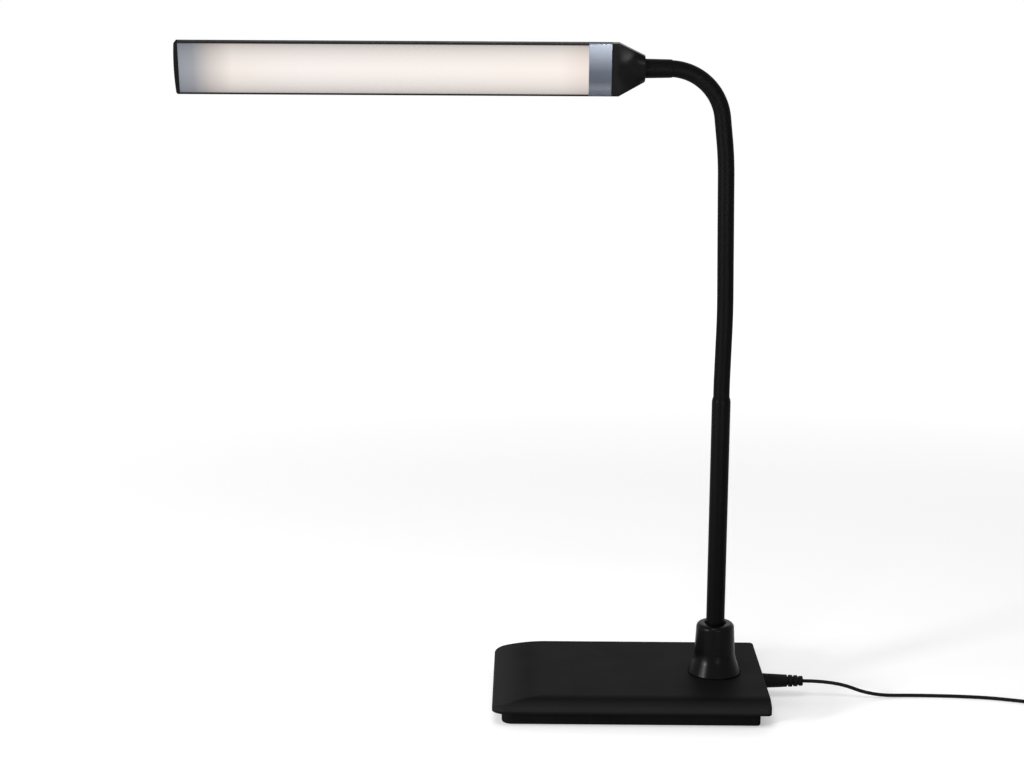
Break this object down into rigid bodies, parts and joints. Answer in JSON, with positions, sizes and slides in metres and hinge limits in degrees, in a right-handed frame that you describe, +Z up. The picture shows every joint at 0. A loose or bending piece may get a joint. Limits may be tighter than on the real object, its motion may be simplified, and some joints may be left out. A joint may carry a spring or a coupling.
{
  "type": "desk lamp",
  "caption": "LED desk lamp with a weighted rectangular base, steel stem, flexible gooseneck and a slim bar head that turns on its axis.",
  "frame": {"origin": "middle of the base, on the surface that it stands on", "axes": "+Z up; +X from the head's free end towards the side of the base where the cord plugs in; +Y towards the back of the base"},
  "size_m": [0.6169, 0.196, 0.4344],
  "materials": {
    "black_moulding": "fine satin",
    "black_gloss": "semi-gloss",
    "black_paint": "satin paint",
    "black_rubber": "matt",
    "foam": "foam",
    "steel": "zinc plated",
    "brass": "plain",
    "band_aluminium": "brushed and anodised",
    "board_aluminium": "white solder mask",
    "opal": "satin opal",
    "white_moulding": "satin",
    "led_package": "plain",
    "board_green": "solder mask",
    "acetal": "natural",
    "switch_black": "plain"
  },
  "bodies": {
    "base": {"base_cover": "black_moulding", "base_tray": "black_moulding", "base_pad": "foam", "base_screws": "steel", "ballast_plate": "steel", "ballast_screws": "steel", "dc_jack": "switch_black", "jack_pin": "brass", "base_cable": "black_rubber", "stem_hub": "black_gloss", "stem_tube": "black_paint", "stem_washer": "steel", "stem_nut": "steel", "neck_root": "steel", "neck_sleeve": "black_rubber", "neck_cable": "black_rubber", "plug_barrel": "steel", "plug_grip": "black_rubber", "power_cord": "black_rubber", "cord_coil": "black_rubber", "coil_tie": "switch_black", "adapter_lead": "black_rubber", "adapter_relief": "black_rubber", "wall_adapter": "black_moulding", "adapter_blades": "steel"},
    "link_01": {"neck_link_01": "steel"},
    "link_02": {"neck_link_02": "steel"},
    "link_03": {"neck_link_03": "steel"},
    "link_04": {"neck_link_04": "steel"},
    "link_05": {"neck_link_05": "steel"},
    "link_06": {"neck_link_06": "steel"},
    "link_07": {"neck_link_07": "steel"},
    "link_08": {"neck_link_08": "steel"},
    "link_09": {"neck_link_09": "steel"},
    "link_10": {"neck_link_10": "steel"},
    "link_11": {"neck_link_11": "steel"},
    "neck_end": {"neck_ferrule": "black_paint", "stop_washer": "steel", "swivel_spring": "steel", "retaining_clip": "steel"},
    "head": {"swivel_bush": "acetal", "head_collar": "black_gloss", "head_screws": "steel", "trim_band": "band_aluminium", "head_housing": "black_moulding", "end_cap": "black_moulding", "diffuser": "opal", "reflector": "white_moulding", "led_board": "board_aluminium", "leds": "led_package", "driver_board": "board_green", "board_pins": "brass", "head_leads": "black_rubber", "tact_switch": "switch_black"},
    "button": {"power_button": "black_gloss", "switch_plunger": "switch_black"}
  },
  "joints": [
    {"name": "neck_sway_01", "type": "hinge", "parent": "base", "child": "link_01", "pos_m": [0.0577, 0, 0.2116], "axis": [1, 0, 0], "range_deg": [-9, 9], "deforming": ["neck_sleeve", "neck_cable"]},
    {"name": "neck_bend_02", "type": "hinge", "parent": "link_01", "child": "link_02", "pos_m": [0.05823, 0, 0.24008], "axis": [0, -1, 0], "range_deg": [-6, 4.5]},
    {"name": "neck_sway_03", "type": "hinge", "parent": "link_02", "child": "link_03", "pos_m": [0.05854, 0, 0.26856], "axis": [1, 0, 0], "range_deg": [-9, 9]},
    {"name": "neck_bend_04", "type": "hinge", "parent": "link_03", "child": "link_04", "pos_m": [0.058, 0, 0.29703], "axis": [0, -1, 0], "range_deg": [-6, 4.5]},
    {"name": "neck_sway_05", "type": "hinge", "parent": "link_04", "child": "link_05", "pos_m": [0.05743, 0, 0.32551], "axis": [1, 0, 0], "range_deg": [-9, 9]},
    {"name": "neck_bend_06", "type": "hinge", "parent": "link_05", "child": "link_06", "pos_m": [0.05684, 0, 0.35399], "axis": [0, -1, 0], "range_deg": [-6, 4.5]},
    {"name": "neck_sway_07", "type": "hinge", "parent": "link_06", "child": "link_07", "pos_m": [0.05438, 0, 0.38235], "axis": [1, 0, 0], "range_deg": [-9, 9]},
    {"name": "neck_bend_08", "type": "hinge", "parent": "link_07", "child": "link_08", "pos_m": [0.05289, 0, 0.39223], "axis": [0, -1, 0], "range_deg": [-12, 9]},
    {"name": "neck_bend_09", "type": "hinge", "parent": "link_08", "child": "link_09", "pos_m": [0.04897, 0, 0.4014], "axis": [0, -1, 0], "range_deg": [-12, 9]},
    {"name": "neck_bend_10", "type": "hinge", "parent": "link_09", "child": "link_10", "pos_m": [0.0426, 0, 0.40906], "axis": [0, -1, 0], "range_deg": [-12, 9]},
    {"name": "neck_bend_11", "type": "hinge", "parent": "link_10", "child": "link_11", "pos_m": [0.03431, 0, 0.41458], "axis": [0, -1, 0], "range_deg": [-12, 9]},
    {"name": "neck_bend_12", "type": "hinge", "parent": "link_11", "child": "neck_end", "pos_m": [0.02478, 0, 0.4175], "axis": [0, -1, 0], "range_deg": [-12, 9]},
    {"name": "head_roll", "type": "hinge", "parent": "neck_end", "child": "head", "pos_m": [-0.0036, 0, 0.4179], "axis": [1, 0, 0], "range_deg": [-10, 170]},
    {"name": "power_button", "type": "slide", "parent": "head", "child": "button", "axis": [0, -0.9816, -0.1908], "range_m": [0, 0.0005], "stiffness_N_per_m": 1500, "springref_m": -0.0003}
  ]
}
